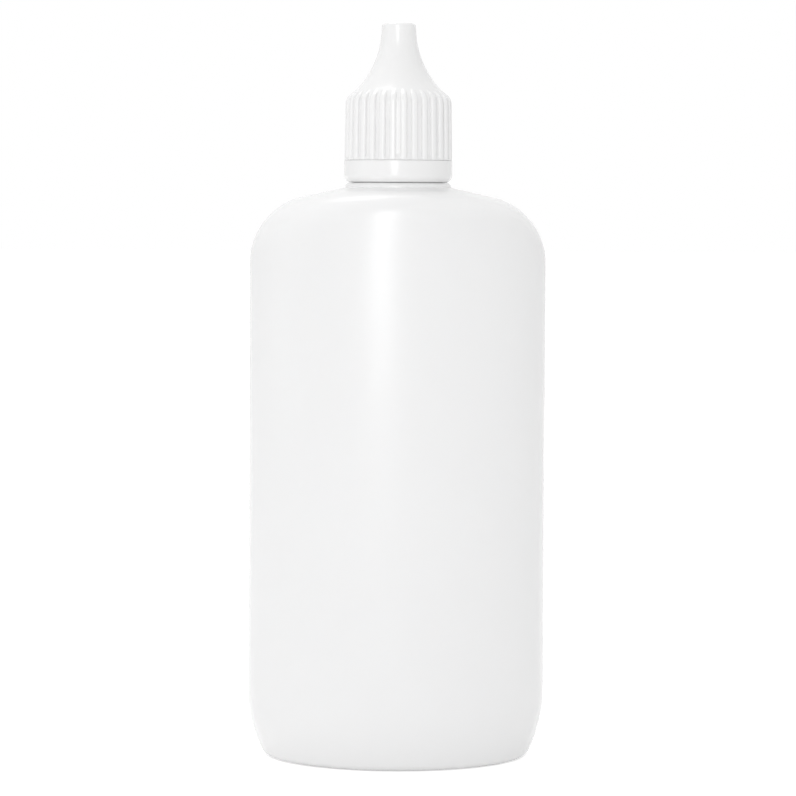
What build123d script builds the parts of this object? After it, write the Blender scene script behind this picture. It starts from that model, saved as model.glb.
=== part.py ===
from build123d import *

# Oval squeeze bottle with a press-in dropper plug, a tamper ring and a ribbed steeple cap.
# Millimetres. The origin is the centre of the standing face, +Z runs up the neck,
# X is the wide way across the body, Y its depth, and the front faces -Y.

import os
from math import acos, asin, atan2, cos, degrees, pi, radians, sin, sqrt, tan

# Body, outside
body_width = 51.4
body_depth = 30.8
shoulder_root_height = 98.4
shoulder_slope = 12.3
shoulder_side_radius = 11.7
shoulder_front_radius = 4.5
side_taper = 0.4
heel_height = 11.5
heel_radius = 24.6
toe_radius = 2.1
heel_sections = 4
shoulder_sections = 12
blend_run = 3.0

# Body, inside and base
wall = 1.0
standing_rim = 1.8
push_up = 1.3
push_up_run = 2.2

# Neck
bore_radius = 5.4
neck_wall = 1.5
ring_seat_step = 0.6
collar_height = 0.55
collar_step = 0.2
collar_fillet = 0.4
neck_height = 12.05
bead_depth = 0.5
bead_land = 0.35
bead_run = 1.1
lip_chamfer = 0.3

# Screw cap
skirt_wall = 0.8
thread_height = 0.6
thread_clearance = 0.35
tip_radius = 2.9
tip_land = 0.5
tip_edge_radius = 0.45
tip_wall = 1.4
steeple_height = 12.24
steeple_rise = 1.76
steeple_wall = 1.1
skirt_corner_radius = 4.0
skirt_draft = 0.15
skirt_lead_in = 0.3

# Ribs of the cap
rib_count = 30
rib_height = 0.5
rib_root = 0.6
rib_width = 1.1
rib_corner_radius = 2.0
rib_crest_radius = 0.4
rib_head_reach = 1.35
rib_head_slope = 39.0

# Tamper ring
ring_height = 3.5
ring_clearance = 0.3
ring_proud = 0.05
ring_lip_height = 1.5
ring_lip_clearance = 0.3
ring_floor_land = 0.15
ring_floor_gap = 0.3
break_gap = 0.25
bridge_count = 15
bridge_width = 0.5
bridge_depth = 0.25

# Dropper plug and the seals on it
flange_height = 1.0
flange_overhang = 0.45
flange_edge_radius = 0.25
plug_wall = 1.1
plug_length = 6.5
plug_lead_in = 0.55
nozzle_base_radius = 3.5
nozzle_clearance = 0.52
orifice_radius = 0.35
orifice_length = 1.0
channel_radius = 0.9
mouth_radius = 0.75
mouth_depth = 0.9
seal_clearance = 0.1
seal_bead_width = 0.8
pin_clearance = 0.25
pin_chamfer = 0.25
pin_entry = 0.5
tip_room = 2.3

# Heights that follow from the sizes
neck_radius = bore_radius + neck_wall
ring_seat_radius = neck_radius + ring_seat_step
bead_radius = ring_seat_radius + bead_depth
cap_inner_radius = neck_radius + thread_height + thread_clearance
skirt_radius = cap_inner_radius + skirt_wall
crest_radius = skirt_radius + rib_height
ring_radius = crest_radius + ring_proud
ring_inner_radius = bead_radius + ring_clearance
ring_lip_radius = ring_seat_radius + ring_lip_clearance
ring_underside_radius = ring_radius - ring_lip_radius - ring_floor_land
collar_radius = ring_radius - collar_step
collar_top = shoulder_root_height + collar_height
ring_bottom = collar_top + ring_floor_gap
ring_top = ring_bottom + ring_height
bead_bottom = ring_bottom + ring_lip_height + ring_lip_clearance
cap_bottom = ring_top + break_gap
lip_height = collar_top + neck_height
flange_top = lip_height + flange_height
seal_radius = neck_radius - flange_overhang
pin_radius = mouth_radius - pin_clearance

# The steeple is a concave arc, upright at the tip, that comes down to its foot on the skirt
foot_radius = skirt_radius - skirt_draft
foot_height = flange_top + steeple_rise
cap_top = foot_height + steeple_height
ceiling = cap_top - tip_wall
nozzle_top = ceiling - tip_room
sweep_centre_height = cap_top - tip_land
sweep_run = foot_radius - tip_radius
steeple_sweep = (sweep_run**2 + (sweep_centre_height - foot_height) ** 2) / (2 * sweep_run)
sweep_centre_radius = tip_radius + steeple_sweep


def corner_centre(half, radius):
    """Height of the centre of the shoulder's corner arc, for half the width or half the depth."""
    meeting = shoulder_root_height - (half - collar_radius) * tan(radians(shoulder_slope))
    return meeting - radius * tan(radians(90 - shoulder_slope) / 2)


wall_top = corner_centre(body_width / 2 - side_taper, shoulder_side_radius)


def half_size(height, size, radius, inset):
    """Half the body's width or depth at a height, with its surface moved inwards by inset."""
    if height < heel_height:
        return size / 2 - heel_radius + sqrt((heel_radius - inset) ** 2 - (heel_height - height) ** 2)
    top_half = size / 2 - side_taper
    centre = corner_centre(top_half, radius)
    arc = radius - inset
    slope = radians(shoulder_slope)
    if height < centre:
        run = min((height - heel_height) / (wall_top - heel_height), 1)
        return size / 2 - side_taper * run - inset
    if height < centre + arc * cos(slope):
        return top_half - radius + sqrt(arc**2 - (height - centre) ** 2)
    arc_end = top_half - radius + arc * sin(slope)
    return arc_end - (height - centre - arc * cos(slope)) / tan(slope)


def body_section(height, inset):
    """The body's two radii at a height."""
    wide = half_size(height, body_width, shoulder_side_radius, inset)
    deep = half_size(height, body_depth, shoulder_front_radius, inset)
    return wide, min(wide, deep)


def body_bands(bottom, top):
    """Heights of the sections of the heel, the straight wall and the shoulder, which stand on each other."""
    heel_top = heel_height + blend_run
    straight_top = wall_top - blend_run
    heel = [bottom + (heel_top - bottom) * i / heel_sections for i in range(heel_sections + 1)]
    # the shoulder's sections stand closer together towards the neck
    steps = [sin(pi / 2 * i / shoulder_sections) for i in range(shoulder_sections + 1)]
    shoulder = [straight_top + (top - straight_top) * step for step in steps]
    return heel, [heel_top, straight_top], shoulder


def sweep_radius(height, inset):
    """Radius of the steeple's sweep, with its surface moved inwards by inset, at a height."""
    drop = sweep_centre_height - height
    return sweep_centre_radius - sqrt((steeple_sweep + inset) ** 2 - drop**2)


def sweep_height(radius, inset):
    """Height at which the steeple's sweep, with its surface moved inwards by inset, has a radius."""
    reach = sweep_centre_radius - radius
    return sweep_centre_height - sqrt((steeple_sweep + inset) ** 2 - reach**2)


# The room inside: body, shoulder and neck bore
bore_root = (
    shoulder_root_height
    + (collar_radius - bore_radius) * tan(radians(shoulder_slope))
    - wall / cos(radians(shoulder_slope))
)
with BuildPart() as cavity:
    for heights in body_bands(wall, bore_root):
        for height in heights:
            with BuildSketch(Plane.XY.offset(height)):
                Ellipse(*body_section(height, wall))
        loft()
    fillet(cavity.edges().sort_by(Axis.Z)[0], toe_radius - wall)
    with BuildSketch(Plane.XY.offset(bore_root)):
        Circle(bore_radius)
    extrude(amount=lip_height - bore_root)
    # the floor rises over the push-up in the base, one wall above it
    rim_wide, rim_deep = (size - toe_radius - standing_rim for size in body_section(0, 0))
    floor_shift = wall * tan(atan2(push_up, push_up_run) / 2)
    with BuildSketch(Plane.XY.offset(wall)):
        Ellipse(rim_wide + floor_shift, rim_deep + floor_shift)
    with BuildSketch(Plane.XY.offset(wall + push_up)):
        Ellipse(rim_wide + floor_shift - push_up_run, rim_deep + floor_shift - push_up_run)
    loft(ruled=True, mode=Mode.SUBTRACT)

# Bottle: one blown piece, with its neck finish
with BuildPart() as bottle:
    for heights in body_bands(0, shoulder_root_height):
        for height in heights:
            with BuildSketch(Plane.XY.offset(height)):
                Ellipse(*body_section(height, 0))
        loft()
    fillet(bottle.edges().sort_by(Axis.Z)[0], toe_radius)
    with BuildSketch(Plane.XZ):
        with BuildLine():
            Polyline(
                (0, shoulder_root_height),
                (collar_radius, shoulder_root_height),
                (collar_radius, collar_top),
                (ring_seat_radius, collar_top),
                (ring_seat_radius, bead_bottom),
                (bead_radius, bead_bottom),
                (bead_radius, bead_bottom + bead_land),
                (neck_radius, bead_bottom + bead_run),
                (neck_radius, lip_height - lip_chamfer),
                (neck_radius - lip_chamfer, lip_height),
                (0, lip_height),
                close=True,
            )
        make_face()
    revolve(axis=Axis.Z)
    level_edges = bottle.edges().filter_by(lambda edge: edge.bounding_box().size.Z < collar_height / 10)
    fillet(level_edges.sort_by_distance((0, 0, shoulder_root_height))[0], collar_fillet)
    with BuildSketch(Plane.XY):
        Ellipse(rim_wide, rim_deep)
    with BuildSketch(Plane.XY.offset(push_up)):
        Ellipse(rim_wide - push_up_run, rim_deep - push_up_run)
    loft(ruled=True, mode=Mode.SUBTRACT)
    add(cavity.part, mode=Mode.SUBTRACT)
bottle.part.label = "bottle"

# Dropper plug: skirt pressed into the bore, flange on the lip, tapered nozzle with its fine orifice
nozzle_tip_radius = sweep_radius(nozzle_top, steeple_wall) - nozzle_clearance
with BuildPart() as dropper_plug:
    with BuildSketch(Plane.XZ):
        with BuildLine():
            Polyline(
                (bore_radius - plug_wall, lip_height - plug_length),
                (bore_radius - plug_lead_in, lip_height - plug_length),
                (bore_radius, lip_height - plug_length + plug_lead_in),
                (bore_radius, lip_height),
                (seal_radius, lip_height),
                (seal_radius, flange_top),
                (nozzle_base_radius, flange_top),
                (nozzle_tip_radius, nozzle_top),
                (mouth_radius, nozzle_top),
                (orifice_radius, nozzle_top - mouth_depth),
                (orifice_radius, nozzle_top - mouth_depth - orifice_length),
                (channel_radius, nozzle_top - mouth_depth - 2 * orifice_length),
                (nozzle_base_radius - plug_wall, lip_height),
                (bore_radius - plug_wall, lip_height - flange_height),
                close=True,
            )
        make_face()
    revolve(axis=Axis.Z)
    flange_edges = dropper_plug.edges().filter_by_position(Axis.Z, flange_top, flange_top)
    fillet(flange_edges.sort_by(SortBy.LENGTH)[-1], flange_edge_radius)
dropper_plug.part.label = "dropper_plug"

# One rib of the cap: a round-backed fin whose head rises out of the steeple's foot
head_radius = skirt_radius - rib_head_reach
head_height = sweep_height(head_radius, 0)
head_slope = tan(radians(rib_head_slope))
crest_top_radius = crest_radius - skirt_draft
crest_top_height = head_height - (crest_top_radius - head_radius) * head_slope
root_radius = skirt_radius - rib_root
with BuildPart() as rib:
    with BuildSketch(Plane.XZ):
        with BuildLine():
            Polyline(
                (root_radius, cap_bottom),
                (crest_radius, cap_bottom),
                (crest_top_radius, crest_top_height),
                (head_radius - rib_root, head_height + rib_root * head_slope),
                (root_radius, crest_top_height),
                close=True,
            )
        make_face()
        fillet(vertices().sort_by_distance((crest_top_radius, head_height))[0], rib_corner_radius)
    extrude(amount=rib_width / 2, both=True)
    crest_faces = rib.faces().filter_by(lambda face: face.normal_at().X > 0.1)
    crest_edges = crest_faces.edges().filter_by(lambda edge: abs(edge.center().Y) > rib_width / 4)
    fillet(crest_edges, rib_crest_radius)

# Screw cap: skirt, ribs and concave steeple outside, seal bead and seal pin inside
foot_angle = degrees(acos((sweep_centre_radius - foot_radius) / steeple_sweep))
inner_foot = degrees(acos((sweep_centre_radius - cap_inner_radius) / (steeple_sweep + steeple_wall)))
inner_head = degrees(asin((sweep_centre_height - ceiling) / (steeple_sweep + steeple_wall)))
with BuildPart() as screw_cap:
    with BuildSketch(Plane.XZ):
        with BuildLine():
            top = Line((0, cap_top), (tip_radius, cap_top))
            land = Line(top @ 1, (tip_radius, sweep_centre_height))
            sweep = CenterArc((sweep_centre_radius, sweep_centre_height), steeple_sweep, 180, foot_angle)
            skirt = Line(sweep @ 1, (skirt_radius, cap_bottom))
            foot = Line(skirt @ 1, (0, cap_bottom))
            Line(foot @ 1, top @ 0)
        make_face()
        fillet(vertices().sort_by_distance(sweep @ 1)[0], skirt_corner_radius)
        fillet(vertices().sort_by_distance(top @ 1)[0], tip_edge_radius)
    revolve(axis=Axis.Z)
    with PolarLocations(0, rib_count):
        add(rib.part)
    # the hollow: a plain bore for the thread, then the steeple at an even wall
    with BuildSketch(Plane.XZ):
        with BuildLine():
            roof = CenterArc(
                (sweep_centre_radius, sweep_centre_height),
                steeple_sweep + steeple_wall,
                180 + inner_head,
                inner_foot - inner_head,
            )
            Polyline(
                roof @ 1,
                (cap_inner_radius, cap_bottom + skirt_lead_in),
                (cap_inner_radius + skirt_lead_in, cap_bottom),
                (0, cap_bottom),
                (0, ceiling),
                roof @ 0,
            )
        make_face()
        fillet(vertices().sort_by_distance(roof @ 1)[0], skirt_corner_radius - skirt_wall)
    revolve(axis=Axis.Z, mode=Mode.SUBTRACT)
    with BuildSketch(Plane.XZ):
        bead_top = sweep_height(seal_radius - seal_bead_width, steeple_wall / 2)
        with BuildLine():
            Polyline(
                (seal_radius, flange_top + seal_clearance),
                (seal_radius, sweep_height(seal_radius, steeple_wall / 2)),
                (seal_radius - seal_bead_width, bead_top),
                (seal_radius - seal_bead_width, flange_top + seal_clearance),
                close=True,
            )
        make_face()
        with BuildLine():
            pin_foot = nozzle_top - pin_entry
            Polyline(
                (0, ceiling + tip_wall / 2),
                (pin_radius, ceiling + tip_wall / 2),
                (pin_radius, pin_foot + pin_chamfer),
                (pin_radius - pin_chamfer, pin_foot),
                (0, pin_foot),
                close=True,
            )
        make_face()
    revolve(axis=Axis.Z)
screw_cap.part.label = "screw_cap"

# Tamper ring: a smooth band with an inward lip under the neck's bead, and its thin bridges on top
with BuildPart() as tamper_ring:
    with BuildSketch(Plane.XZ):
        with BuildLine():
            Polyline(
                (ring_lip_radius, ring_bottom),
                (ring_radius, ring_bottom),
                (ring_radius, ring_top),
                (ring_inner_radius, ring_top),
                (ring_inner_radius, ring_bottom + ring_lip_height + ring_lip_clearance),
                (ring_lip_radius, ring_bottom + ring_lip_height),
                close=True,
            )
        make_face()
        fillet(vertices().sort_by_distance((ring_radius, ring_bottom))[0], ring_underside_radius)
    revolve(axis=Axis.Z)
    with BuildSketch(Plane.XY.offset(ring_top)):
        with PolarLocations((skirt_radius + ring_inner_radius) / 2, bridge_count):
            Rectangle(bridge_depth, bridge_width)
    extrude(amount=break_gap)
tamper_ring.part.label = "tamper_ring"

os.makedirs("parts", exist_ok=True)
for piece in (bottle, dropper_plug, screw_cap, tamper_ring):
    export_step(piece.part, f"parts/{piece.part.label}.step")
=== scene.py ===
"""Oval squeeze bottle with a dropper plug, a tamper ring and a ribbed steeple cap, dressed for a studio view.

Metres, in the frame of the solids: the origin is the centre of the standing face, +Z runs up the neck,
X is the wide way across the body, and the broad front faces -Y.
"""

import logging
from dataclasses import dataclass, field
from enum import Enum
from math import asin, atan2, ceil, cos, pi, radians, sin, sqrt, tan
from typing import Sequence

import bpy
from mathutils import Matrix, Vector

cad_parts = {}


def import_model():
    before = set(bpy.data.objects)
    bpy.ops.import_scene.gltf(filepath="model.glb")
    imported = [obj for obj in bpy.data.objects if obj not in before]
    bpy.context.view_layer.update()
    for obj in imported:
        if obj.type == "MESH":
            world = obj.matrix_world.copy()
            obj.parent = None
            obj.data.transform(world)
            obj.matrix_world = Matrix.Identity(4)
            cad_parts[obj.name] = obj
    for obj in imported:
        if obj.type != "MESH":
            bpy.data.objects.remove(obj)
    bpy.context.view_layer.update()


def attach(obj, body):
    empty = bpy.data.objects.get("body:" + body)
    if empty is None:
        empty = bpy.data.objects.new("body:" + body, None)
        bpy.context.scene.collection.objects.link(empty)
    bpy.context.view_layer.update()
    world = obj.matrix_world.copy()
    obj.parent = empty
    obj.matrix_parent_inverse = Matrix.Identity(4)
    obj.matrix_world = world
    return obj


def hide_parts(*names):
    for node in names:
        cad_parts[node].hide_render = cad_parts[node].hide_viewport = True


LOG = logging.getLogger("dropper_bottle")
MM = 0.001
EDGE_STEPS = 6
WHITE = (1.0, 1.0, 1.0, 1.0)
# angles in degrees above which an edge stays sharp
FLAT_CREASE = 30.0
SHELL_CREASE = 32.0
RIBBED_CREASE = 40.0
THREAD_CREASE = 50.0

Point = tuple[float, float, float]
Ring = list[Point]
Outline = list[tuple[float, float]]
Corner = tuple[float, float, float]
Section = tuple[float, float, float]
Face = tuple[int, ...]


class Body(Enum):
    """The bodies that a piece can ride on."""

    BOTTLE = "bottle"
    RING = "ring"
    CAP = "cap"


class Slot(Enum):
    """The record's material slots."""

    BOTTLE = "bottle_natural"
    PLUG = "plug_natural"
    CLOSURE = "closure_natural"


# Outlines and meshes


def even_steps(first: float, last: float, steps: int) -> list[float]:
    """Evenly spaced values from the first to the last, both included."""
    return [first + (last - first) * i / steps for i in range(steps + 1)]


def even_angles(count: int) -> list[float]:
    """Angles that divide a full turn evenly."""
    return [2 * pi * i / count for i in range(count)]


def turn_between(first: float, last: float) -> float:
    """The turn from one angle to another, at most half a turn either way."""
    return (last - first + pi) % (2 * pi) - pi


def arc_points(centre: tuple[float, float], radius: float, start: float, end: float, steps: int) -> Outline:
    """Points along an arc, both ends included.

    Args:
        centre: The arc's centre as radius and height.
        radius: The arc's own radius.
        start: Angle of the first point, in radians from the outward direction.
        end: Angle of the last point.
        steps: Number of chords.

    Returns:
        The points as radius and height.
    """
    angles = even_steps(start, end, steps)
    return [(centre[0] + radius * cos(a), centre[1] + radius * sin(a)) for a in angles]


def rounded(corners: Sequence[Corner], steps: int = EDGE_STEPS) -> Outline:
    """A run of straight lines whose corners are rounded.

    Args:
        corners: Radius and height of each corner, and the radius that rounds it, 0 for a sharp one.
        steps: Chords along each rounded corner.

    Returns:
        The points as radius and height.
    """
    points: Outline = []
    for i, (x, z, radius) in enumerate(corners):
        if radius == 0 or i in (0, len(corners) - 1):
            points.append((x, z))
            continue
        corner = Vector((x, z))
        before = (Vector(corners[i - 1][:2]) - corner).normalized()
        after = (Vector(corners[i + 1][:2]) - corner).normalized()
        half = before.angle(after) / 2
        centre = corner + (before + after).normalized() * radius / sin(half)
        first = corner + before * radius / tan(half) - centre
        last = corner + after * radius / tan(half) - centre
        start = atan2(first.y, first.x)
        turn = turn_between(start, atan2(last.y, last.x))
        points += arc_points((centre.x, centre.y), radius, start, start + turn, steps)
    return points


def oval_ring(wide: float, deep: float, height: float, angles: Sequence[float]) -> Ring:
    """One level ellipse of points with the given half width and half depth."""
    return [(wide * cos(a), deep * sin(a), height) for a in angles]


def circle_rings(outline: Outline, angles: Sequence[float]) -> list[Ring]:
    """One level circle of points for each point of an outline."""
    return [oval_ring(radius, radius, height, angles) for radius, height in outline]


def wall_faces(count: int, low: int, high: int) -> list[Face]:
    """The four-sided faces between two rings of count points each, given by the rings' numbers."""
    a, b = low * count, high * count
    return [(a + i, a + (i + 1) % count, b + (i + 1) % count, b + i) for i in range(count)]


def mesh_object(name: str, points: Sequence[Point], faces: Sequence[Face], crease: float) -> bpy.types.Object:
    """A smooth-shaded object with sharp edges where faces turn by more than an angle.

    Args:
        name: The piece's name.
        points: The mesh's vertices.
        faces: The mesh's faces as vertex numbers.
        crease: The angle in degrees above which an edge stays sharp.

    Returns:
        The object, linked to the scene.
    """
    mesh = bpy.data.meshes.new(name)
    mesh.from_pydata(points, [], faces)
    mesh.validate()
    mesh.polygons.foreach_set("use_smooth", [True] * len(mesh.polygons))
    mesh.set_sharp_from_angle(angle=radians(crease))
    piece = bpy.data.objects.new(name, mesh)
    bpy.context.scene.collection.objects.link(piece)
    return piece


def shell_object(
    name: str, rings: Sequence[Ring], closed: bool = False, crease: float = SHELL_CREASE
) -> bpy.types.Object:
    """A skin through a run of rings with as many points each.

    Args:
        name: The piece's name.
        rings: The rings in the order in which the skin passes through them.
        closed: True where the last ring joins the first, as in a band, and otherwise both ends are closed.
        crease: The angle in degrees above which an edge stays sharp.

    Returns:
        The object.
    """
    count = len(rings[0])
    points = [point for ring in rings for point in ring]
    pairs = list(zip(range(len(rings)), range(1, len(rings))))
    if closed:
        pairs.append((len(rings) - 1, 0))
    faces = [face for low, high in pairs for face in wall_faces(count, low, high)]
    if not closed:
        for ring, first, flip in ((rings[0], 0, True), (rings[-1], (len(rings) - 1) * count, False)):
            centre = len(points)
            points.append((0.0, 0.0, sum(point[2] for point in ring) / count))
            for i in range(count):
                j = (i + 1) % count
                faces.append((first + j, first + i, centre) if flip else (first + i, first + j, centre))
    return mesh_object(name, points, faces, crease)


@dataclass(frozen=True)
class ThreadRidge:
    """A helical ridge on a wall, tapered to nothing at both ends.

    The root is the radius of the wall that carries the ridge, and the crest lies inside or outside it. The
    start is the height of the lower end, and the width is the ridge's height at its root.
    """

    root: float
    crest: float
    start: float
    pitch: float
    turns: float
    width: float
    phase: float
    sink: float = 0.15 * MM
    chords_per_turn: int = 96
    fade_turns: float = 0.12
    fade_curve: float = 0.7
    end_width_share: float = 0.55
    gained_width_share: float = 0.45
    # each point's place across the ridge, and how far it lies from root to crest
    section: tuple[tuple[float, float], ...] = (
        (-0.5, 0.0), (-0.32, 0.72), (-0.2, 0.95), (0.0, 1.0), (0.2, 0.95), (0.32, 0.72), (0.5, 0.0),
    )

    def ring(self, along: float) -> Ring:
        """One section across the ridge.

        Args:
            along: Its distance from the lower end, in turns.

        Returns:
            The points over the ridge, then two that are sunk into the wall.
        """
        ease = min(along / self.fade_turns, (self.turns - along) / self.fade_turns, 1.0)
        rise = sin(pi / 2 * max(ease, 0.0)) ** self.fade_curve
        share = self.end_width_share + self.gained_width_share * rise
        sunk = self.root + self.sink * (1 if self.root > self.crest else -1)
        places = [(across, self.root + (self.crest - self.root) * out * rise) for across, out in self.section]
        places += [(across, sunk) for across in (0.5, -0.5)]
        angle = self.phase + 2 * pi * along
        ring: Ring = []
        for across, radius in places:
            height = self.start + self.pitch * along + across * self.width * share
            ring.append((radius * cos(angle), radius * sin(angle), height))
        return ring

    def build(self, name: str) -> bpy.types.Object:
        """The ridge as one closed mesh.

        Args:
            name: The piece's name.

        Returns:
            The object.
        """
        chords = ceil(self.chords_per_turn * self.turns)
        rings = [self.ring(self.turns * i / chords) for i in range(chords + 1)]
        count = len(rings[0])
        faces = [face for low in range(chords) for face in wall_faces(count, low, low + 1)]
        faces.append(tuple(range(count - 1, -1, -1)))
        faces.append(tuple(range(chords * count, (chords + 1) * count)))
        return mesh_object(name, [point for ring in rings for point in ring], faces, THREAD_CREASE)


# Finishes


@dataclass(frozen=True)
class PolymerFinish:
    """A natural, milky moulded polymer with its slight clouds, flow marks and fine surface grain.

    Noise scales are features per metre, heights and the scatter's reach are metres, and the rest are shares.
    """

    name: str
    tone: float
    warmth: float
    cloud: float
    cloud_scale: float
    roughness: float
    roughness_spread: float
    scatter: float
    scatter_reach: float
    grain_scale: float
    grain_height: float
    wave_scale: float
    wave_height: float
    refraction: float = 1.5
    scatter_tint: tuple[float, float, float] = (1.0, 0.98, 0.95)
    gloss_scale_ratio: float = 2.3
    cloud_detail: float = 3.0
    gloss_detail: float = 2.0
    wave_detail: float = 1.0
    grain_detail: float = 2.0

    def colour(self, tone: float) -> tuple[float, float, float, float]:
        """A near-white colour at a tone, a little warm."""
        return (tone * (1 + self.warmth), tone, tone * (1 - self.warmth), 1.0)

    def noise(
        self, tree: bpy.types.NodeTree, place: bpy.types.Node, scale: float, detail: float
    ) -> bpy.types.NodeSocket:
        """A noise that keeps its place on the piece.

        Args:
            tree: The material's nodes.
            place: The node that gives places on the piece.
            scale: Features per metre.
            detail: How many finer layers lie over the first.

        Returns:
            The socket of the noise's height.
        """
        node = tree.nodes.new("ShaderNodeTexNoise")
        node.inputs["Scale"].default_value = scale
        node.inputs["Detail"].default_value = detail
        tree.links.new(place.outputs["Object"], node.inputs["Vector"])
        return node.outputs["Fac"]

    def bump(
        self, tree: bpy.types.NodeTree, place: bpy.types.Node, scale: float, detail: float, height: float
    ) -> bpy.types.Node:
        """A bump that follows its own noise.

        Args:
            tree: The material's nodes.
            place: The node that gives places on the piece.
            scale: Features per metre.
            detail: How many finer layers lie over the first.
            height: Height of the bumps.

        Returns:
            The bump's node.
        """
        node = tree.nodes.new("ShaderNodeBump")
        node.inputs["Strength"].default_value = 1.0
        node.inputs["Distance"].default_value = height
        tree.links.new(self.noise(tree, place, scale, detail), node.inputs["Height"])
        return node

    def material(self) -> bpy.types.Material:
        """The finish as a node material.

        Returns:
            The material.
        """
        material = bpy.data.materials.new(self.name)
        material.use_nodes = True
        tree = material.node_tree
        tree.nodes.clear()
        output = tree.nodes.new("ShaderNodeOutputMaterial")
        shader = tree.nodes.new("ShaderNodeBsdfPrincipled")
        tree.links.new(shader.outputs["BSDF"], output.inputs["Surface"])
        shader.inputs["IOR"].default_value = self.refraction
        shader.inputs["Subsurface Weight"].default_value = self.scatter
        shader.inputs["Subsurface Radius"].default_value = self.scatter_tint
        shader.inputs["Subsurface Scale"].default_value = self.scatter_reach
        place = tree.nodes.new("ShaderNodeTexCoord")
        clouds = self.noise(tree, place, self.cloud_scale, self.cloud_detail)
        tint = tree.nodes.new("ShaderNodeMix")
        tint.data_type = "RGBA"
        tint.inputs["A"].default_value = self.colour(self.tone - self.cloud)
        tint.inputs["B"].default_value = self.colour(self.tone + self.cloud)
        tree.links.new(clouds, tint.inputs["Factor"])
        tree.links.new(tint.outputs["Result"], shader.inputs["Base Color"])
        gloss = tree.nodes.new("ShaderNodeMapRange")
        gloss.inputs["To Min"].default_value = self.roughness - self.roughness_spread
        gloss.inputs["To Max"].default_value = self.roughness + self.roughness_spread
        patches = self.noise(tree, place, self.cloud_scale * self.gloss_scale_ratio, self.gloss_detail)
        tree.links.new(patches, gloss.inputs["Value"])
        tree.links.new(gloss.outputs["Result"], shader.inputs["Roughness"])
        waves = self.bump(tree, place, self.wave_scale, self.wave_detail, self.wave_height)
        grain = self.bump(tree, place, self.grain_scale, self.grain_detail, self.grain_height)
        tree.links.new(waves.outputs["Normal"], grain.inputs["Normal"])
        tree.links.new(grain.outputs["Normal"], shader.inputs["Normal"])
        return material


BLOWN_POLYETHYLENE = PolymerFinish(
    name="blown_polyethylene",
    tone=0.93,
    warmth=0.002,
    cloud=0.012,
    cloud_scale=45.0,
    roughness=0.24,
    roughness_spread=0.03,
    scatter=0.4,
    scatter_reach=3.0 * MM,
    grain_scale=2600.0,
    grain_height=0.004 * MM,
    wave_scale=70.0,
    wave_height=0.05 * MM,
)
MOULDED_POLYPROPYLENE = PolymerFinish(
    name="moulded_polypropylene",
    tone=0.86,
    warmth=0.0,
    cloud=0.01,
    cloud_scale=160.0,
    roughness=0.22,
    roughness_spread=0.03,
    scatter=0.15,
    scatter_reach=0.6 * MM,
    grain_scale=3800.0,
    grain_height=0.002 * MM,
    wave_scale=220.0,
    wave_height=0.01 * MM,
)
MOULDED_POLYETHYLENE = PolymerFinish(
    name="moulded_polyethylene",
    tone=0.87,
    warmth=0.002,
    cloud=0.01,
    cloud_scale=160.0,
    roughness=0.34,
    roughness_spread=0.03,
    scatter=0.3,
    scatter_reach=1.5 * MM,
    grain_scale=3200.0,
    grain_height=0.003 * MM,
    wave_scale=180.0,
    wave_height=0.01 * MM,
)


# Pieces


@dataclass
class Neck:
    """Radii and heights at which the neck, the ring, the plug and the cap meet, and the neck's own edges."""

    bore_radius: float = 5.4 * MM
    neck_radius: float = 6.9 * MM
    seat_radius: float = 7.5 * MM
    bead_radius: float = 8.0 * MM
    collar_radius: float = 9.0 * MM
    root: float = 98.4 * MM
    collar_top: float = 98.95 * MM
    collar_bevel_drop: float = 0.15 * MM
    collar_bevel_rise: float = 0.25 * MM
    collar_bevel_run: float = 0.5 * MM
    collar_round: float = 0.2 * MM
    bevel_round: float = 0.25 * MM
    bead_bottom: float = 101.05 * MM
    bead_land: float = 0.35 * MM
    bead_run: float = 1.1 * MM
    bead_edge: float = 0.08 * MM
    bead_round: float = 0.12 * MM
    bead_fillet: float = 0.3 * MM
    lip: float = 111.0 * MM
    lip_chamfer: float = 0.3 * MM
    lip_round: float = 0.15 * MM
    lip_edge: float = 0.1 * MM
    flange_top: float = 112.0 * MM
    flange_radius: float = 6.45 * MM
    thread_pitch: float = 2.6 * MM
    thread_turns: float = 1.6
    thread_start: float = 104.0 * MM
    thread_width: float = 1.15 * MM
    thread_crest: float = 7.35 * MM
    thread_phase: float = radians(-110.0)

    def outline(self, bore_foot: float) -> Outline:
        """The neck's finish from the collar's root up to the lip and down the bore.

        Args:
            bore_foot: Height at which the bore opens into the hollow.

        Returns:
            The points as radius and height.
        """
        bevel_top = self.collar_top + self.collar_bevel_rise
        return rounded(
            [
                (self.collar_radius, self.root, 0),
                (self.collar_radius, self.collar_top - self.collar_bevel_drop, self.collar_round),
                (self.collar_radius - self.collar_bevel_run, bevel_top, self.bevel_round),
                (self.seat_radius, bevel_top, self.collar_round),
                (self.seat_radius, self.bead_bottom, 0),
                (self.bead_radius, self.bead_bottom, self.bead_edge),
                (self.bead_radius, self.bead_bottom + self.bead_land, self.bead_round),
                (self.neck_radius, self.bead_bottom + self.bead_run, self.bead_fillet),
                (self.neck_radius, self.lip - self.lip_chamfer, self.lip_round),
                (self.neck_radius - self.lip_chamfer, self.lip, self.lip_edge),
                (self.bore_radius, self.lip, self.lip_edge),
                (self.bore_radius, bore_foot, 0),
            ]
        )

    def thread(self, root: float, crest: float, lift: float) -> ThreadRidge:
        """A thread of the neck's pitch on a wall.

        Args:
            root: Radius of the wall.
            crest: Radius of the thread's crest.
            lift: How far it starts above the neck's own thread.

        Returns:
            The thread.
        """
        return ThreadRidge(
            root=root,
            crest=crest,
            start=self.thread_start + lift,
            pitch=self.thread_pitch,
            turns=self.thread_turns,
            width=self.thread_width,
            phase=self.thread_phase,
        )


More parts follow.
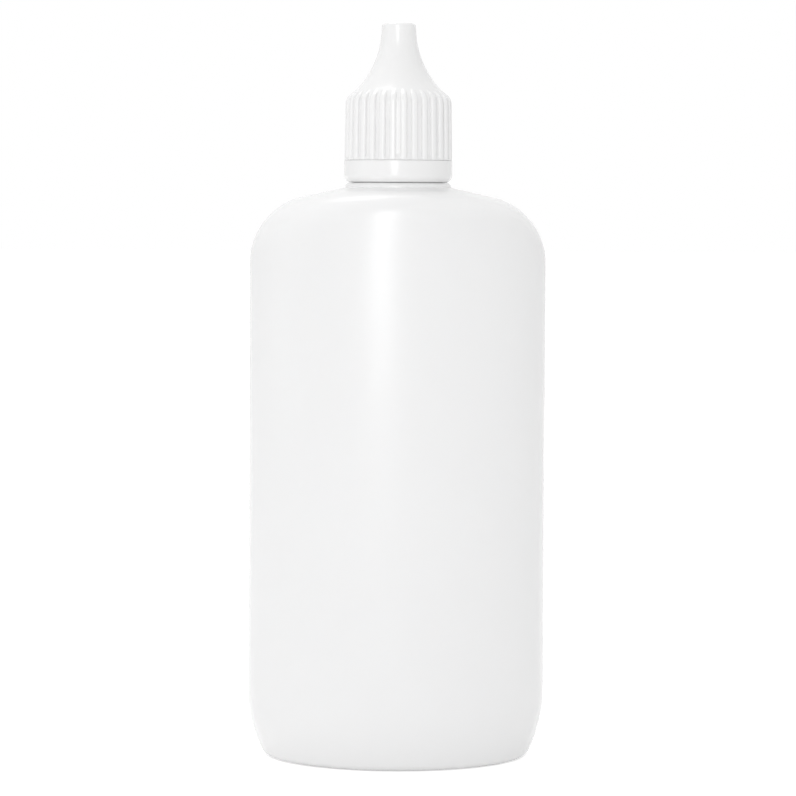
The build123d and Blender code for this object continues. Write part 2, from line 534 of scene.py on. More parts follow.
@dataclass
class BlownBottle:
    """The blown bottle: heel, oval wall, sloping shoulder, collar, neck and the hollow inside."""

    neck: Neck
    width: float = 51.3 * MM
    depth: float = 30.8 * MM
    side_taper: float = 0.4 * MM
    heel_height: float = 11.5 * MM
    heel_radius: float = 24.6 * MM
    toe_radius: float = 2.1 * MM
    shoulder_slope: float = radians(12.3)
    side_corner: float = 11.7 * MM
    front_corner: float = 4.5 * MM
    wall: float = 1.0 * MM
    rim: float = 1.8 * MM
    push_up: float = 1.3 * MM
    push_up_run: float = 2.2 * MM
    push_up_shares: tuple[float, ...] = (0.3, 0.6, 0.85)
    seam_height: float = 0.06 * MM
    seam_width: float = 0.32 * MM
    seam_curve: float = 0.7
    seam_columns: tuple[float, ...] = (-1.0, -0.5, 0.0, 0.5, 1.0)
    seam_clear: float = 1.5
    columns: int = 176
    push_up_steps: int = 8
    toe_steps: int = 10
    heel_steps: int = 10
    wall_steps: int = 20
    side_corner_steps: int = 26
    front_corner_steps: int = 18
    slope_steps: int = 5
    least_rise: float = 0.06 * MM

    @property
    def wall_top(self) -> float:
        """Height at which the shoulder's side corner begins."""
        return self.corner_centre(self.width / 2 - self.side_taper, self.side_corner)

    @property
    def seam_reach(self) -> float:
        """Angle from the middle of a mould seam to its edge."""
        return self.seam_width / self.depth

    def corner_centre(self, half: float, radius: float) -> float:
        """Height of the centre of a shoulder corner's arc, for half the width or half the depth."""
        meeting = self.neck.root - (half - self.neck.collar_radius) * tan(self.shoulder_slope)
        return meeting - radius * tan((pi / 2 - self.shoulder_slope) / 2)

    def half_size(self, height: float, size: float, corner: float, inset: float) -> float:
        """Half the body's width or depth at a height.

        Args:
            height: The level.
            size: The body's full width or depth at the heel.
            corner: Radius of the shoulder's corner in that direction.
            inset: How far the surface lies inside the outer one.

        Returns:
            The half size.
        """
        if height < self.heel_height:
            drop = self.heel_height - height
            return size / 2 - self.heel_radius + sqrt((self.heel_radius - inset) ** 2 - drop**2)
        top_half = size / 2 - self.side_taper
        centre = self.corner_centre(top_half, corner)
        arc = corner - inset
        if height < centre:
            run = min((height - self.heel_height) / (self.wall_top - self.heel_height), 1.0)
            return size / 2 - self.side_taper * run - inset
        if height < centre + arc * cos(self.shoulder_slope):
            return top_half - corner + sqrt(arc**2 - (height - centre) ** 2)
        arc_end = top_half - corner + arc * sin(self.shoulder_slope)
        return arc_end - (height - centre - arc * cos(self.shoulder_slope)) / tan(self.shoulder_slope)

    def section(self, height: float, inset: float) -> Section:
        """The body's oval at a level.

        Args:
            height: The level.
            inset: How far the surface lies inside the outer one.

        Returns:
            Half width, half depth and height.
        """
        wide = self.half_size(height, self.width, self.side_corner, inset)
        deep = self.half_size(height, self.depth, self.front_corner, inset)
        return wide, min(wide, deep), height

    def root_height(self, inset: float) -> float:
        """Height at which the shoulder's surface reaches the collar, or the bore on the inside.

        Args:
            inset: How far the surface lies inside the outer one.

        Returns:
            The height.
        """
        if inset == 0:
            return self.neck.root
        reach = (self.neck.collar_radius - self.neck.bore_radius) * tan(self.shoulder_slope)
        return self.neck.root + reach - inset / cos(self.shoulder_slope)

    def toe_rows(self, inset: float) -> list[Section]:
        """Sections from the flat of the base round the toe to the heel.

        Args:
            inset: How far the surface lies inside the outer one.

        Returns:
            The sections, lowest first.
        """
        reach = self.heel_radius - self.toe_radius
        drop = self.heel_height - self.toe_radius
        toe_inset = self.heel_radius - sqrt(reach**2 - drop**2)
        turn = asin(drop / reach)
        arc = arc_points((0.0, self.toe_radius), self.toe_radius - inset, -pi / 2, -turn, self.toe_steps)
        return [(self.width / 2 - toe_inset + x, self.depth / 2 - toe_inset + x, z) for x, z in arc]

    def wall_rows(self, inset: float) -> list[Section]:
        """Sections from the heel up to the collar or the bore.

        Args:
            inset: How far the surface lies inside the outer one.

        Returns:
            The sections, lowest first.
        """
        low = self.toe_rows(inset)[-1][2]
        top = self.root_height(inset)
        heights = even_steps(low, self.heel_height, self.heel_steps)[1:]
        heights += even_steps(self.heel_height, self.wall_top, self.wall_steps)[1:]
        corners = (
            (self.width, self.side_corner, self.side_corner_steps),
            (self.depth, self.front_corner, self.front_corner_steps),
        )
        for size, corner, steps in corners:
            centre = self.corner_centre(size / 2 - self.side_taper, corner)
            for angle in even_steps(0.0, pi / 2 - self.shoulder_slope, steps):
                heights.append(centre + (corner - inset) * sin(angle))
        heights += even_steps(max(heights), top, self.slope_steps)[1:]
        levels: list[float] = []
        for height in sorted(heights):
            if height <= top and (not levels or height - levels[-1] > self.least_rise):
                levels.append(height)
        levels[-1] = top
        return [self.section(height, inset) for height in levels]

    def base_rows(self, inset: float) -> list[Section]:
        """Sections across the base from the middle of the push-up to the flat of the rim.

        Args:
            inset: How far the surface lies inside the outer one.

        Returns:
            The sections, the middle one first.
        """
        edge_wide, edge_deep, _ = self.toe_rows(0.0)[0]
        shift = inset * tan(atan2(self.push_up, self.push_up_run) / 2)
        wide, deep = edge_wide - self.rim + shift, edge_deep - self.rim + shift
        sections: list[Section] = []
        for share in self.push_up_shares:
            flat = (share * (wide - self.push_up_run), share * (deep - self.push_up_run))
            sections.append((*flat, self.push_up + inset))
        # an eased slope from the push-up down to the rim
        for step in even_steps(0.0, 1.0, self.push_up_steps):
            run = self.push_up_run * (1 - step)
            ease = step * step * (3 - 2 * step)
            sections.append((wide - run, deep - run, inset + self.push_up * (1 - ease)))
        return sections

    def angles(self) -> list[float]:
        """Angles round the body, closer together over the two mould seams.

        Returns:
            The angles in rising order.
        """
        angles = even_angles(self.columns)
        clear = self.seam_clear * self.seam_reach
        for side in (0.0, pi):
            angles = [a for a in angles if abs(turn_between(side, a)) > clear]
            angles += [(side + self.seam_reach * step) % (2 * pi) for step in self.seam_columns]
        return sorted(angles)

    def seam(self, ring: Ring, angles: Sequence[float]) -> Ring:
        """The ring with the mould seam raised on its two narrow ends.

        Args:
            ring: The plain ring.
            angles: The angles of its points.

        Returns:
            The raised ring.
        """
        raised: Ring = []
        for (x, y, z), angle in zip(ring, angles):
            away = min(abs(turn_between(side, angle)) for side in (0.0, pi)) / self.seam_reach
            lift = self.seam_height * max(0.0, 1 - away) ** self.seam_curve
            raised.append((x + (lift if x > 0 else -lift), y, z))
        return raised

    def build(self) -> bpy.types.Object:
        """The bottle's outer and inner skins as one closed mesh.

        Returns:
            The object.
        """
        angles = self.angles()
        rings = [oval_ring(*row, angles) for row in self.base_rows(0.0)]
        outer = self.toe_rows(0.0) + self.wall_rows(0.0)
        rings += [self.seam(oval_ring(*row, angles), angles) for row in outer]
        rings += circle_rings(self.neck.outline(self.root_height(self.wall))[1:], angles)
        inner = self.wall_rows(self.wall)[::-1][1:] + self.toe_rows(self.wall)[::-1]
        inner += self.base_rows(self.wall)[::-1]
        rings += [oval_ring(*row, angles) for row in inner]
        return shell_object("bottle_shell", rings)

    def build_thread(self) -> bpy.types.Object:
        """The thread on the neck."""
        return self.neck.thread(self.neck.neck_radius, self.neck.thread_crest, 0.0).build("neck_thread")

    def pieces(self) -> list[bpy.types.Object]:
        """The bottle's pieces, dressed and riding on their body.

        Returns:
            The shell and the thread.
        """
        finish = BLOWN_POLYETHYLENE.material()
        shell = self.build()
        made = [shell, self.build_thread()]
        for piece in made:
            dress(piece, finish, Body.BOTTLE)
        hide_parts("bottle")
        return made


@dataclass
class DropperPlug:
    """The press-in plug: a hollow skirt in the bore, a flange on the lip and a nozzle with a fine orifice."""

    neck: Neck
    wall: float = 1.1 * MM
    length: float = 6.5 * MM
    lead_in: float = 0.55 * MM
    nozzle_base: float = 3.5 * MM
    nozzle_tip: float = 1.6 * MM
    nozzle_top: float = 122.3 * MM
    orifice: float = 0.35 * MM
    orifice_length: float = 1.0 * MM
    channel: float = 0.9 * MM
    mouth: float = 0.75 * MM
    mouth_depth: float = 0.9 * MM
    skirt_edge: float = 0.1 * MM
    skirt_round: float = 0.2 * MM
    flange_edge: float = 0.12 * MM
    flange_round: float = 0.25 * MM
    nozzle_fillet: float = 0.5 * MM
    tip_round: float = 0.25 * MM
    mouth_edge: float = 0.12 * MM
    orifice_edge: float = 0.1 * MM
    channel_round: float = 0.3 * MM
    columns: int = 96

    def outline(self) -> Outline:
        """The plug's closed outline, from the skirt's inner edge round the outside and back down the channel.

        Returns:
            The points as radius and height.
        """
        neck = self.neck
        bore, bottom = neck.bore_radius, neck.lip - self.length
        inside = bore - self.wall
        throat = self.nozzle_top - self.mouth_depth
        return rounded(
            [
                (inside, bottom, 0),
                (bore - self.lead_in, bottom, self.skirt_edge),
                (bore, bottom + self.lead_in, self.skirt_round),
                (bore, neck.lip, 0),
                (neck.flange_radius, neck.lip, self.flange_edge),
                (neck.flange_radius, neck.flange_top, self.flange_round),
                (self.nozzle_base, neck.flange_top, self.nozzle_fillet),
                (self.nozzle_tip, self.nozzle_top, self.tip_round),
                (self.mouth, self.nozzle_top, self.mouth_edge),
                (self.orifice, throat, self.orifice_edge),
                (self.orifice, throat - self.orifice_length, 0),
                (self.channel, throat - 2 * self.orifice_length, self.channel_round),
                (self.nozzle_base - self.wall, neck.lip, self.nozzle_fillet),
                (inside, neck.lip - (neck.flange_top - neck.lip), self.channel_round),
                (inside, bottom, 0),
            ]
        )[:-1]

    def pieces(self) -> list[bpy.types.Object]:
        """The plug, dressed and riding on the bottle.

        Returns:
            The plug alone.
        """
        rings = circle_rings(self.outline(), even_angles(self.columns))
        plug = shell_object("dropper_plug_shell", rings, closed=True)
        dress(plug, MOULDED_POLYETHYLENE.material(), Body.BOTTLE)
        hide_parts("dropper_plug")
        return [plug]


@dataclass(frozen=True)
class GateMark:
    """The small sunk gate in the middle of the cap's tip, with its low stub."""

    radius: float = 0.9 * MM
    floor_radius: float = 0.8 * MM
    depth: float = 0.15 * MM
    edge: float = 0.05 * MM
    stub_foot: float = 0.32 * MM
    stub_radius: float = 0.26 * MM
    stub_depth: float = 0.04 * MM
    stub_edge: float = 0.04 * MM
    middle_radius: float = 0.1 * MM
    middle_depth: float = 0.03 * MM
    edge_steps: int = 3

    def outline(self, top: float) -> Outline:
        """The gate from its rim to the middle of its stub.

        Args:
            top: Height of the tip's flat end.

        Returns:
            The points as radius and height.
        """
        return rounded(
            [
                (self.radius, top, 0),
                (self.floor_radius, top - self.depth, self.edge),
                (self.stub_foot, top - self.depth, self.edge),
                (self.stub_radius, top - self.stub_depth, self.stub_edge),
                (self.middle_radius, top - self.middle_depth, 0),
            ],
            self.edge_steps,
        )


@dataclass
class SteepleCap:
    """The screw cap: ribbed skirt, concave steeple with a closed tip, thread, seal bead and seal pin."""

    neck: Neck
    gate: GateMark = GateMark()
    bottom: float = 103.0 * MM
    top: float = 126.0 * MM
    bore: float = 7.85 * MM
    bore_lead: float = 0.3 * MM
    skirt_radius: float = 8.65 * MM
    skirt_draft: float = 0.15 * MM
    skirt_edge: float = 0.03 * MM
    skirt_edge_share: float = 0.997
    corner_radius: float = 4.0 * MM
    foot_height: float = 113.76 * MM
    tip_radius: float = 2.9 * MM
    tip_land: float = 0.5 * MM
    tip_edge: float = 0.45 * MM
    tip_wall: float = 1.4 * MM
    tip_flat: tuple[float, ...] = (1.6 * MM, 1.1 * MM)
    steeple_wall: float = 1.1 * MM
    rib_count: int = 30
    rib_height: float = 0.5 * MM
    rib_width: float = 1.1 * MM
    rib_back: float = 0.4 * MM
    rib_corner: float = 2.0 * MM
    rib_head_reach: float = 1.35 * MM
    rib_head_slope: float = radians(39.0)
    rib_head_room: float = 1.4 * MM
    # places across a rib, and across a groove, that carry a column of points
    rib_shares: tuple[float, ...] = (
        -1.0, -0.97, -0.88, -0.7, -0.5, -0.25, 0.0, 0.25, 0.5, 0.7, 0.88, 0.97, 1.0,
    )
    groove_shares: tuple[float, ...] = (0.12, 0.35, 0.65, 0.88)
    groove_end: float = 0.48 * MM
    groove_run_out: float = 1.1 * MM
    groove_end_curve: float = 1.5
    seal_gap: float = 0.1 * MM
    seal_width: float = 0.8 * MM
    seal_edge: float = 0.12 * MM
    seal_clear: float = 0.05 * MM
    pin_radius: float = 0.5 * MM
    pin_entry: float = 0.5 * MM
    pin_root_land: float = 0.5 * MM
    pin_fillet: float = 0.15 * MM
    pin_round: float = 0.22 * MM
    pin_flat: float = 0.1 * MM
    tip_room: float = 2.3 * MM
    thread_crest: float = 7.42 * MM
    run_out_steps: int = 8
    skirt_steps: int = 14
    head_steps: int = 40
    steeple_steps: int = 26
    tip_steps: int = 7
    bore_steps: int = 6
    hollow_corner_steps: int = 10
    hollow_edge_steps: int = 4
    roof_steps: int = 14

    @property
    def foot_radius(self) -> float:
        """Radius of the skirt at the steeple's foot."""
        return self.skirt_radius - self.skirt_draft

    @property
    def sweep_height(self) -> float:
        """Height of the centre of the steeple's concave arc."""
        return self.top - self.tip_land

    @property
    def sweep(self) -> float:
        """Radius of the steeple's concave arc, which stands upright at the tip and ends at the foot."""
        run = self.foot_radius - self.tip_radius
        return (run**2 + (self.sweep_height - self.foot_height) ** 2) / (2 * run)

    @property
    def ceiling(self) -> float:
        """Height of the hollow's flat end under the tip."""
        return self.top - self.tip_wall

    @property
    def seal_inner(self) -> float:
        """Inner radius of the seal bead."""
        return self.neck.flange_radius - self.seal_width

    def sweep_radius(self, height: float) -> float:
        """Outer radius of the steeple at a height."""
        drop = self.sweep_height - height
        return self.tip_radius + self.sweep - sqrt(self.sweep**2 - drop**2)

    def roof_height(self, radius: float) -> float:
        """Height of the hollow's roof at a radius."""
        across = self.tip_radius + self.sweep - radius
        return self.sweep_height - sqrt((self.sweep + self.steeple_wall) ** 2 - across**2)

    def corner(self) -> tuple[float, float, float]:
        """The rounded corner between skirt and steeple.

        Returns:
            Radius and height of its centre, and the height where it ends.
        """
        radius = self.foot_radius - self.corner_radius
        across = self.tip_radius + self.sweep - radius
        reach = self.sweep + self.corner_radius
        height = self.sweep_height - sqrt(reach**2 - across**2)
        end = height + (self.sweep_height - height) * self.corner_radius / reach
        return radius, height, end

    def hollow_corner(self) -> tuple[float, float, float]:
        """The corner between the bore and the hollow's roof, an arc tangent to both.

        Returns:
            Radius and height of its centre, and its own radius.
        """
        corner = self.corner_radius - (self.skirt_radius - self.bore)
        radius = self.bore - corner
        across = self.tip_radius + self.sweep - radius
        height = self.sweep_height - sqrt((self.sweep + self.steeple_wall + corner) ** 2 - across**2)
        return radius, height, corner

    def skin_radius(self, height: float) -> float:
        """Outer radius of the cap between its ribs.

        Args:
            height: The level.

        Returns:
            The radius.
        """
        centre, middle, end = self.corner()
        if height <= middle:
            run = (height - self.bottom) / (middle - self.bottom)
            # the grooves run out to the skirt's lower edge in a short slope
            low = max(1 - (height - self.bottom) / self.groove_run_out, 0.0)
            return self.skirt_radius - self.skirt_draft * run + self.groove_end * low**self.groove_end_curve
        if height <= end:
            return centre + sqrt(self.corner_radius**2 - (height - middle) ** 2)
        if height <= self.top - self.tip_edge:
            return self.sweep_radius(min(height, self.sweep_height))
        drop = height - (self.top - self.tip_edge)
        return self.tip_radius - self.tip_edge + sqrt(max(self.tip_edge**2 - drop**2, 0.0))

    def rib_radius(self, height: float) -> float:
        """Radius of a rib's crest, which runs into the steeple at its head.

        Args:
            height: The level.

        Returns:
            The radius.
        """
        head_radius = self.skirt_radius - self.rib_head_reach
        across = self.tip_radius + self.sweep - head_radius
        head_height = self.sweep_height - sqrt(self.sweep**2 - across**2)
        crest = self.skirt_radius + self.rib_height
        crest_top = crest - self.skirt_draft
        slope = tan(self.rib_head_slope)
        shoulder = head_height - (crest_top - head_radius) * slope
        middle = shoulder - self.rib_corner * tan((pi / 2 - self.rib_head_slope) / 2)
        if height <= middle:
            return crest - self.skirt_draft * (height - self.bottom) / (middle - self.bottom)
        if height <= middle + self.rib_corner * cos(self.rib_head_slope):
            return crest_top - self.rib_corner + sqrt(self.rib_corner**2 - (height - middle) ** 2)
        return head_radius + (head_height - height) / slope

    def rib_columns(self) -> list[tuple[float, float]]:
        """Angles round the cap, each with its distance from the nearest rib's middle.

        Returns:
            Pairs of angle and distance, as a share of the rib's half width and 1 or more off the rib.
        """
        pitch = 2 * pi / self.rib_count
        half = self.rib_width / 2 / self.skirt_radius
        groove = [half + (pitch - 2 * half) * step for step in self.groove_shares]
        columns: list[tuple[float, float]] = []
        for i in range(self.rib_count):
            middle = pitch * i
            columns += [(middle + half * share, abs(share)) for share in self.rib_shares]
            columns += [(middle + angle, 2.0) for angle in groove]
        return columns

    def angles(self) -> list[float]:
        """Angles of the columns round the cap."""
        return [angle for angle, _ in self.rib_columns()]

    def ribbed_ring(self, height: float) -> Ring:
        """One level ring of the cap's outside, with the ribs that reach that height.

        Args:
            height: The level.

        Returns:
            The ring.
        """
        skin = self.skin_radius(height)
        crest = self.rib_radius(height) if height < self.foot_height + self.rib_corner else 0.0
        half = self.rib_width / 2
        ring: Ring = []
        for angle, share in self.rib_columns():
            radius = skin
            if share < 1.0:
                over = max(0.0, share * half - (half - self.rib_back))
                back = self.rib_back - sqrt(self.rib_back**2 - over**2)
                radius = max(skin, crest - back)
            ring.append((radius * cos(angle), radius * sin(angle), height))
        return ring

    def outer_rings(self) -> list[Ring]:
        """The ribbed outside from the skirt's lower edge to the gate in the tip's flat end.

        Returns:
            The rings, lowest first.
        """
        _, middle, _ = self.corner()
        low = self.bottom + self.groove_run_out
        high = self.foot_height + self.rib_head_room
        tip_foot = self.top - self.tip_edge
        heights = even_steps(self.bottom + self.skirt_edge, low, self.run_out_steps)[:-1]
        heights += even_steps(low, middle, self.skirt_steps)
        heights += even_steps(middle, high, self.head_steps)[1:]
        heights += even_steps(high, tip_foot, self.steeple_steps)[1:]
        share = self.skirt_edge_share
        rings = [[(x * share, y * share, self.bottom) for x, y, _ in self.ribbed_ring(self.bottom)]]
        rings += [self.ribbed_ring(height) for height in heights]
        centre = (self.tip_radius - self.tip_edge, tip_foot)
        tip = arc_points(centre, self.tip_edge, 0.0, pi / 2, self.tip_steps)[1:]
        tip += [(radius, self.top) for radius in self.tip_flat]
        tip += self.gate.outline(self.top)
        return rings + circle_rings(tip, self.angles())

    def bore_outline(self) -> Outline:
        """The hollow from the skirt's lower edge up the bore and round the corner, as far as the seal bead.

        Returns:
            The points as radius and height.
        """
        centre, middle, corner = self.hollow_corner()
        turn = atan2(self.sweep_height - middle, self.tip_radius + self.sweep - centre)
        levels = even_steps(self.bottom + self.bore_lead, middle, self.bore_steps)[:-1]
        outline: Outline = [(self.bore + self.bore_lead, self.bottom)]
        outline += [(self.bore, height) for height in levels]
        bend = arc_points((centre, middle), corner, 0.0, turn, self.hollow_corner_steps)
        return outline + [place for place in bend if place[0] > self.neck.flange_radius + self.seal_clear]

    def seal_outline(self) -> Outline:
        """The bead that seals over the plug's flange.

        Returns:
            The points as radius and height.
        """
        outer = self.neck.flange_radius
        foot = self.neck.flange_top + self.seal_gap
        centre, middle, corner = self.hollow_corner()
        return rounded(
            [
                (outer, middle + sqrt(max(corner**2 - (outer - centre) ** 2, 0.0)), 0),
                (outer, foot, self.seal_edge),
                (self.seal_inner, foot, self.seal_edge),
                (self.seal_inner, self.roof_height(self.seal_inner), 0),
            ],
            self.hollow_edge_steps,
        )

    def roof_outline(self) -> Outline:
        """The hollow's roof from the seal bead up to the ceiling.

        Returns:
            The points as radius and height.
        """
        centre = self.tip_radius + self.sweep
        reach = self.sweep + self.steeple_wall
        low = asin((self.sweep_height - self.roof_height(self.seal_inner)) / reach)
        high = asin((self.sweep_height - self.ceiling) / reach)
        angles = even_steps(low, high, self.roof_steps)[1:]
        return [(centre - reach * cos(a), self.sweep_height - reach * sin(a)) for a in angles]

    def pin_outline(self) -> Outline:
        """The pin that closes the nozzle's mouth, from the ceiling down to its end.

        Returns:
            The points as radius and height.
        """
        foot = self.ceiling - self.tip_room - self.pin_entry
        return rounded(
            [
                (self.pin_radius + self.pin_root_land, self.ceiling, 0),
                (self.pin_radius, self.ceiling, self.pin_fillet),
                (self.pin_radius, foot, self.pin_round),
                (self.pin_flat, foot, 0),
            ],
            self.hollow_edge_steps,
        )

    def build(self) -> bpy.types.Object:
        """The cap's outside and its hollow as one closed mesh.

        Returns:
            The object.
        """
        outline = self.bore_outline() + self.seal_outline() + self.roof_outline() + self.pin_outline()
        hollow = circle_rings(outline, self.angles())
        return shell_object("screw_cap_shell", hollow[::-1] + self.outer_rings(), crease=RIBBED_CREASE)

    def build_thread(self) -> bpy.types.Object:
        """The thread inside the cap, half a pitch above the neck's."""
        return self.neck.thread(self.bore, self.thread_crest, self.neck.thread_pitch / 2).build("cap_thread")

    def pieces(self) -> list[bpy.types.Object]:
        """The cap's pieces, dressed and riding on the cap.

        Returns:
            The shell and the thread.
        """
        finish = MOULDED_POLYPROPYLENE.material()
        shell = self.build()
        made = [shell, self.build_thread()]
        for piece in made:
            dress(piece, finish, Body.CAP)
        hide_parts("screw_cap")
        return made


@dataclass
class TamperRing:
    """The smooth band under the ribs, with its inward lip and the thin bridges to the cap."""

    neck: Neck
    radius: float = 9.2 * MM
    inner: float = 8.3 * MM
    lip_radius: float = 7.8 * MM
    lip_height: float = 1.5 * MM
    lip_slope: float = 0.3 * MM
    lip_round: float = 0.15 * MM
    bottom: float = 99.25 * MM
    top: float = 102.96 * MM
    underside: float = 1.25 * MM
    outer_edge: float = 0.06 * MM
    inner_edge: float = 0.1 * MM
    edge_steps: int = 8
    bridge_count: int = 15
    bridge_width: float = 0.5 * MM
    bridge_depth: float = 0.25 * MM
    bridge_radius: float = 8.475 * MM
    bridge_sink: float = 0.06 * MM
    bridge_rise: float = 0.04 * MM
    break_gap: float = 0.04 * MM
    waist_height: float = 0.6
    waist_share: float = 0.7
    head_share: float = 0.8
    columns: int = 180

    def build(self) -> bpy.types.Object:
        """The band as one closed mesh.

        Returns:
            The object.
        """
        lip_top = self.bottom + self.lip_height
        outline = rounded(
            [
                (self.lip_radius, self.bottom, 0),
                (self.radius, self.bottom, self.underside),
                (self.radius, self.top, self.outer_edge),
                (self.inner, self.top, self.inner_edge),
                (self.inner, lip_top + self.lip_slope, self.inner_edge),
                (self.lip_radius, lip_top, self.lip_round),
                (self.lip_radius, self.bottom, 0),
            ],
            self.edge_steps,
        )[:-1]
        rings = circle_rings(outline, even_angles(self.columns))
        return shell_object("tamper_ring_shell", rings, closed=True)

    def build_bridges(self) -> bpy.types.Object:
        """The bridges, each with a waist just under the cap, where it tears.

        Returns:
            The bridges as one object.
        """
        # height over the band, and share of the full width and depth
        levels = [
            (-self.bridge_sink, 1.0),
            (self.bridge_rise, 1.0),
            (self.break_gap * self.waist_height, self.waist_share),
            (self.break_gap, self.head_share),
        ]
        corners = ((-1, -1), (1, -1), (1, 1), (-1, 1))
        count = len(corners)
        points: list[Point] = []
        faces: list[Face] = []
        for i in range(self.bridge_count):
            turn = Matrix.Rotation(2 * pi * i / self.bridge_count, 4, "Z")
            first = i * len(levels)
            for rise, share in levels:
                for sx, sy in corners:
                    x = self.bridge_radius + sx * self.bridge_depth / 2 * share
                    y = sy * self.bridge_width / 2 * share
                    points.append(tuple(turn @ Vector((x, y, self.top + rise))))
            for level in range(first, first + len(levels) - 1):
                faces += wall_faces(count, level, level + 1)
            faces.append(tuple(range(first * count + count - 1, first * count - 1, -1)))
            last = (first + len(levels) - 1) * count
            faces.append(tuple(range(last, last + count)))
        return mesh_object("tamper_bridges", points, faces, FLAT_CREASE)

    def pieces(self) -> list[bpy.types.Object]:
        """The ring's pieces, dressed and riding on the ring.

        Returns:
            The band and the bridges.
        """
        finish = MOULDED_POLYPROPYLENE.material()
        band = self.build()
        made = [band, self.build_bridges()]
        for piece in made:
            dress(piece, finish, Body.RING)
        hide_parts("tamper_ring")
        return made


def dress(piece: bpy.types.Object, finish: bpy.types.Material, body: Body) -> None:
    """Gives a piece its finish and the body that it rides on.

    Args:
        piece: The piece.
        finish: Its material.
        body: The body that it moves with.
    """
    piece.data.materials.clear()
    piece.data.materials.append(finish)
    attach(piece, body.value)


# Studio


@dataclass(frozen=True)
class SoftBox:
    """One soft rectangular lamp, aimed at a point of the object."""

    name: str
    place: Point
    aim: Point
    width: float
    height: float
    power: float

    def build(self) -> bpy.types.Object:
        """The lamp, linked to the scene.

        Returns:
            The lamp's object.
        """
        lamp = bpy.data.lights.new(self.name, "AREA")
        lamp.shape = "RECTANGLE"
        lamp.size = self.width
        lamp.size_y = self.height
        lamp.energy = self.power
        holder = bpy.data.objects.new(self.name, lamp)
        holder.location = self.place
        toward = Vector(self.aim) - Vector(self.place)
        holder.rotation_euler = toward.to_track_quat("-Z", "Y").to_euler()
        bpy.context.scene.collection.objects.link(holder)
        return holder


KEY_BOX = SoftBox(
    name="key_box", place=(-0.12, -0.9, 0.27), aim=(0.0, 0.0, 0.075), width=0.18, height=0.5, power=1.9
)
LEFT_BOX = SoftBox(
    name="left_box", place=(-0.9, -0.25, 0.35), aim=(0.0, 0.0, 0.07), width=0.5, height=0.8, power=0.45
)
TOP_BOX = SoftBox(
    name="top_box", place=(-0.12, 0.25, 0.92), aim=(0.0, 0.0, 0.07), width=0.4, height=0.4, power=1.7
)


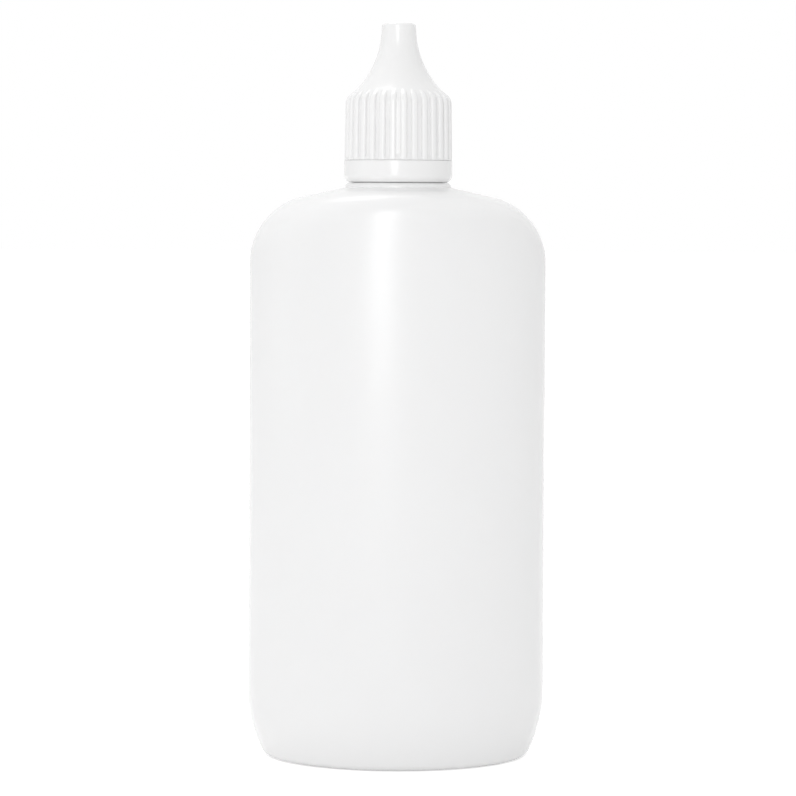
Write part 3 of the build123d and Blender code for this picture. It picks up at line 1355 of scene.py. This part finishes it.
@dataclass
class Studio:
    """White floor and surround, soft lamps and the camera at the photograph's angle."""

    floor_size: float = 6.0
    floor_tone: float = 0.9
    floor_lift: float = 0.44
    ambient: float = 0.75
    camera_distance: float = 369.0 * MM
    camera_height: float = 98.3 * MM
    camera_side: float = 0.165 * MM
    camera_pitch: float = radians(5.56)
    camera_roll: float = radians(0.297)
    focal_length: float = 97.46
    sensor_width: float = 36.0
    nearest_seen: float = 10.0 * MM
    lamps: list[SoftBox] = field(default_factory=lambda: [KEY_BOX, LEFT_BOX, TOP_BOX])

    def camera_rays(self, tree: bpy.types.NodeTree) -> bpy.types.NodeSocket:
        """A socket that is 1 for rays that the camera, a reflection or a refraction sends out.

        Args:
            tree: The nodes that get it.

        Returns:
            The socket.
        """
        path = tree.nodes.new("ShaderNodeLightPath")
        seen = path.outputs["Is Camera Ray"]
        for name in ("Is Glossy Ray", "Is Transmission Ray"):
            either = tree.nodes.new("ShaderNodeMath")
            either.operation = "MAXIMUM"
            tree.links.new(seen, either.inputs[0])
            tree.links.new(path.outputs[name], either.inputs[1])
            seen = either.outputs["Value"]
        return seen

    def build_world(self) -> None:
        """A white surround that lights the object a little less than it shows."""
        world = bpy.data.worlds.new("surround")
        world.use_nodes = True
        tree = world.node_tree
        tree.nodes.clear()
        output = tree.nodes.new("ShaderNodeOutputWorld")
        mix = tree.nodes.new("ShaderNodeMixShader")
        fill = tree.nodes.new("ShaderNodeBackground")
        fill.inputs["Color"].default_value = WHITE
        fill.inputs["Strength"].default_value = self.ambient
        shown = tree.nodes.new("ShaderNodeBackground")
        shown.inputs["Color"].default_value = WHITE
        tree.links.new(self.camera_rays(tree), mix.inputs["Fac"])
        tree.links.new(fill.outputs["Background"], mix.inputs[1])
        tree.links.new(shown.outputs["Background"], mix.inputs[2])
        tree.links.new(mix.outputs["Shader"], output.inputs["Surface"])
        bpy.context.scene.world = world

    def build_floor(self) -> bpy.types.Object:
        """A white floor that shows white and keeps the object's shadow.

        Returns:
            The floor.
        """
        half = self.floor_size / 2
        corners = [(-half, -half, 0.0), (half, -half, 0.0), (half, half, 0.0), (-half, half, 0.0)]
        floor = mesh_object("studio_floor", corners, [(0, 1, 2, 3)], FLAT_CREASE)
        material = bpy.data.materials.new("studio_paper")
        material.use_nodes = True
        tree = material.node_tree
        tree.nodes.clear()
        output = tree.nodes.new("ShaderNodeOutputMaterial")
        paper = tree.nodes.new("ShaderNodeBsdfDiffuse")
        paper.inputs["Color"].default_value = (self.floor_tone, self.floor_tone, self.floor_tone, 1.0)
        glow = tree.nodes.new("ShaderNodeEmission")
        glow.inputs["Color"].default_value = WHITE
        lift = tree.nodes.new("ShaderNodeMath")
        lift.operation = "MULTIPLY"
        lift.inputs[1].default_value = self.floor_lift
        tree.links.new(self.camera_rays(tree), lift.inputs[0])
        tree.links.new(lift.outputs["Value"], glow.inputs["Strength"])
        both = tree.nodes.new("ShaderNodeAddShader")
        tree.links.new(paper.outputs["BSDF"], both.inputs[0])
        tree.links.new(glow.outputs["Emission"], both.inputs[1])
        tree.links.new(both.outputs["Shader"], output.inputs["Surface"])
        floor.data.materials.append(material)
        return floor

    def build_camera(self) -> bpy.types.Object:
        """The camera at the photograph's angle and distance.

        Returns:
            The camera.
        """
        lens = bpy.data.cameras.new("photo_camera")
        lens.lens = self.focal_length
        lens.sensor_width = self.sensor_width
        lens.clip_start = self.nearest_seen
        holder = bpy.data.objects.new("photo_camera", lens)
        tilt = Matrix.Rotation(pi / 2 - self.camera_pitch, 4, "X")
        roll = Matrix.Rotation(self.camera_roll, 4, "Z")
        place = Matrix.Translation((self.camera_side, -self.camera_distance, self.camera_height))
        holder.matrix_world = place @ tilt @ roll
        bpy.context.scene.collection.objects.link(holder)
        bpy.context.scene.camera = holder
        return holder

    def build(self) -> None:
        """The whole studio: surround, floor, camera, lamps and plain tones."""
        self.build_world()
        self.build_floor()
        self.build_camera()
        for lamp in self.lamps:
            lamp.build()
        bpy.context.scene.view_settings.view_transform = "Standard"


def main() -> None:
    """Loads the frame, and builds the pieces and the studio."""
    logging.basicConfig(level=logging.INFO, format="%(message)s")
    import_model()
    neck = Neck()
    makers: list[BlownBottle | DropperPlug | SteepleCap | TamperRing] = [
        BlownBottle(neck),
        DropperPlug(neck),
        SteepleCap(neck),
        TamperRing(neck),
    ]
    for maker in makers:
        for piece in maker.pieces():
            LOG.info("built %s with %d faces", piece.name, len(piece.data.polygons))
    Studio().build()


if __name__ == "__main__":
    main()
